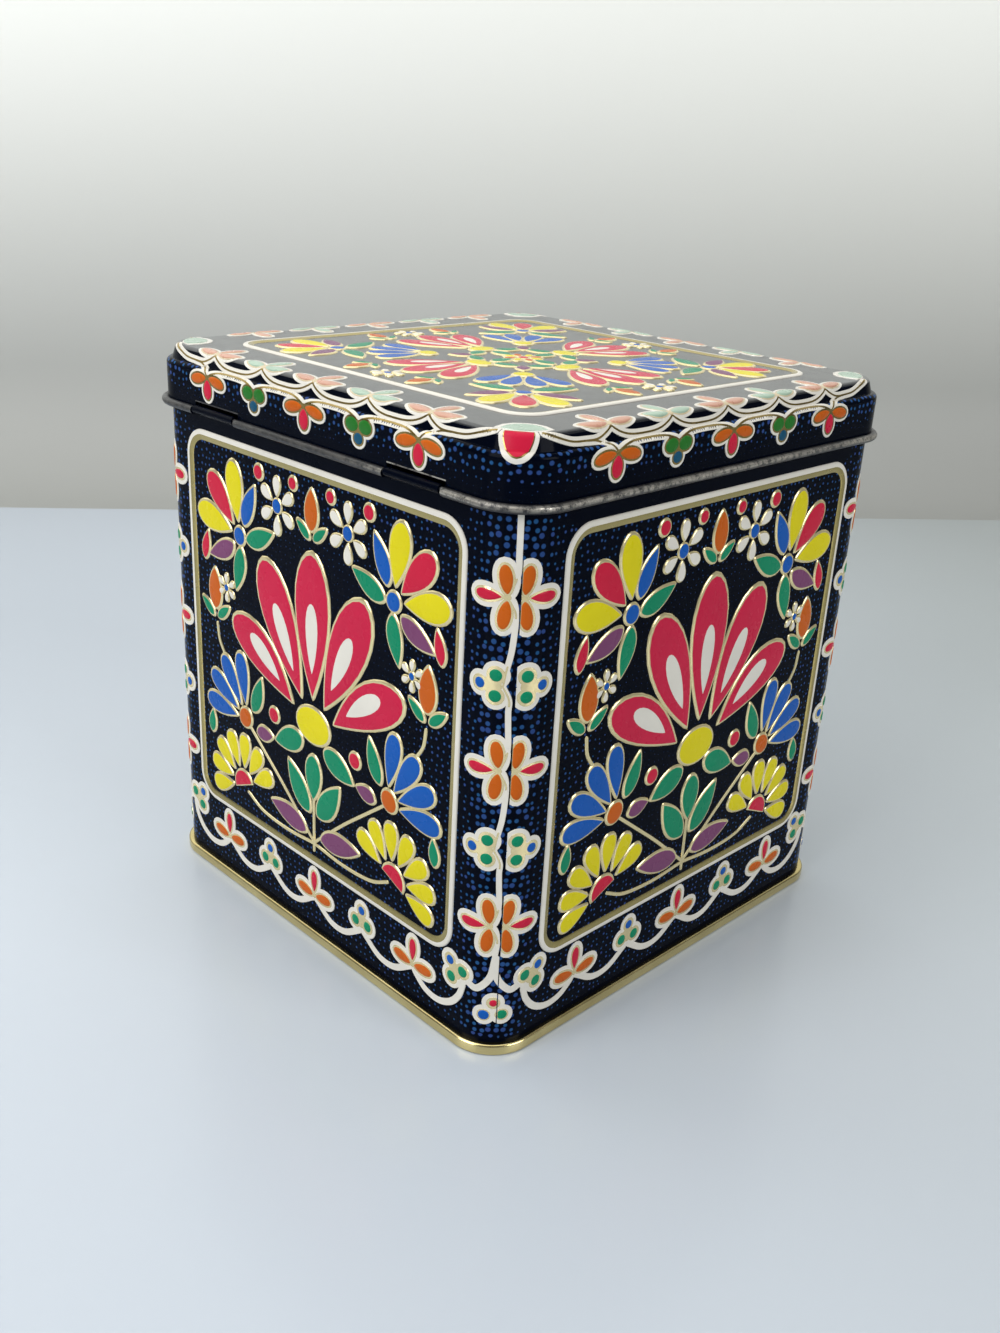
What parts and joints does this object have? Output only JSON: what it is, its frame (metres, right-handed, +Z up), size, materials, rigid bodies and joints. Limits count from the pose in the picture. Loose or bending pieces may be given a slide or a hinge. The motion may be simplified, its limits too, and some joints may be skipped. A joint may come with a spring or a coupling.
{
  "type": "hinged tin box",
  "caption": "Near-cubic printed tin box with rounded corners, double-seamed base and a stepped overlapping lid on a rolled wire hinge.",
  "frame": {"origin": "centre of the base, on the surface that the box stands on", "axes": "+Z up; the hinge runs along X on the +Y side; the upright lock seam is at the -X, +Y corner"},
  "size_m": [0.104, 0.104, 0.1098],
  "materials": {
    "printed_body": "near-black blue gloss lacquer with a dotted ground, embossed and printed in bright colours with gold outlines",
    "gold_lacquer": "gold-lacquered tinplate, slightly worn",
    "printed_lid": "near-black blue gloss lacquer with printed border, worn to bare metal along the curl",
    "bare_wire": "bright drawn steel wire"
  },
  "bodies": {
    "box": {"body_wrap": "printed_body", "base_pan": "gold_lacquer"},
    "lid": {"lid_cap": "printed_lid", "hinge_wire": "bare_wire"}
  },
  "joints": [
    {"name": "lid_hinge", "type": "hinge", "parent": "box", "child": "lid", "pos_m": [0, 0.05125, 0.09915], "axis": [-1, 0, 0], "range_deg": [0, 190]}
  ]
}
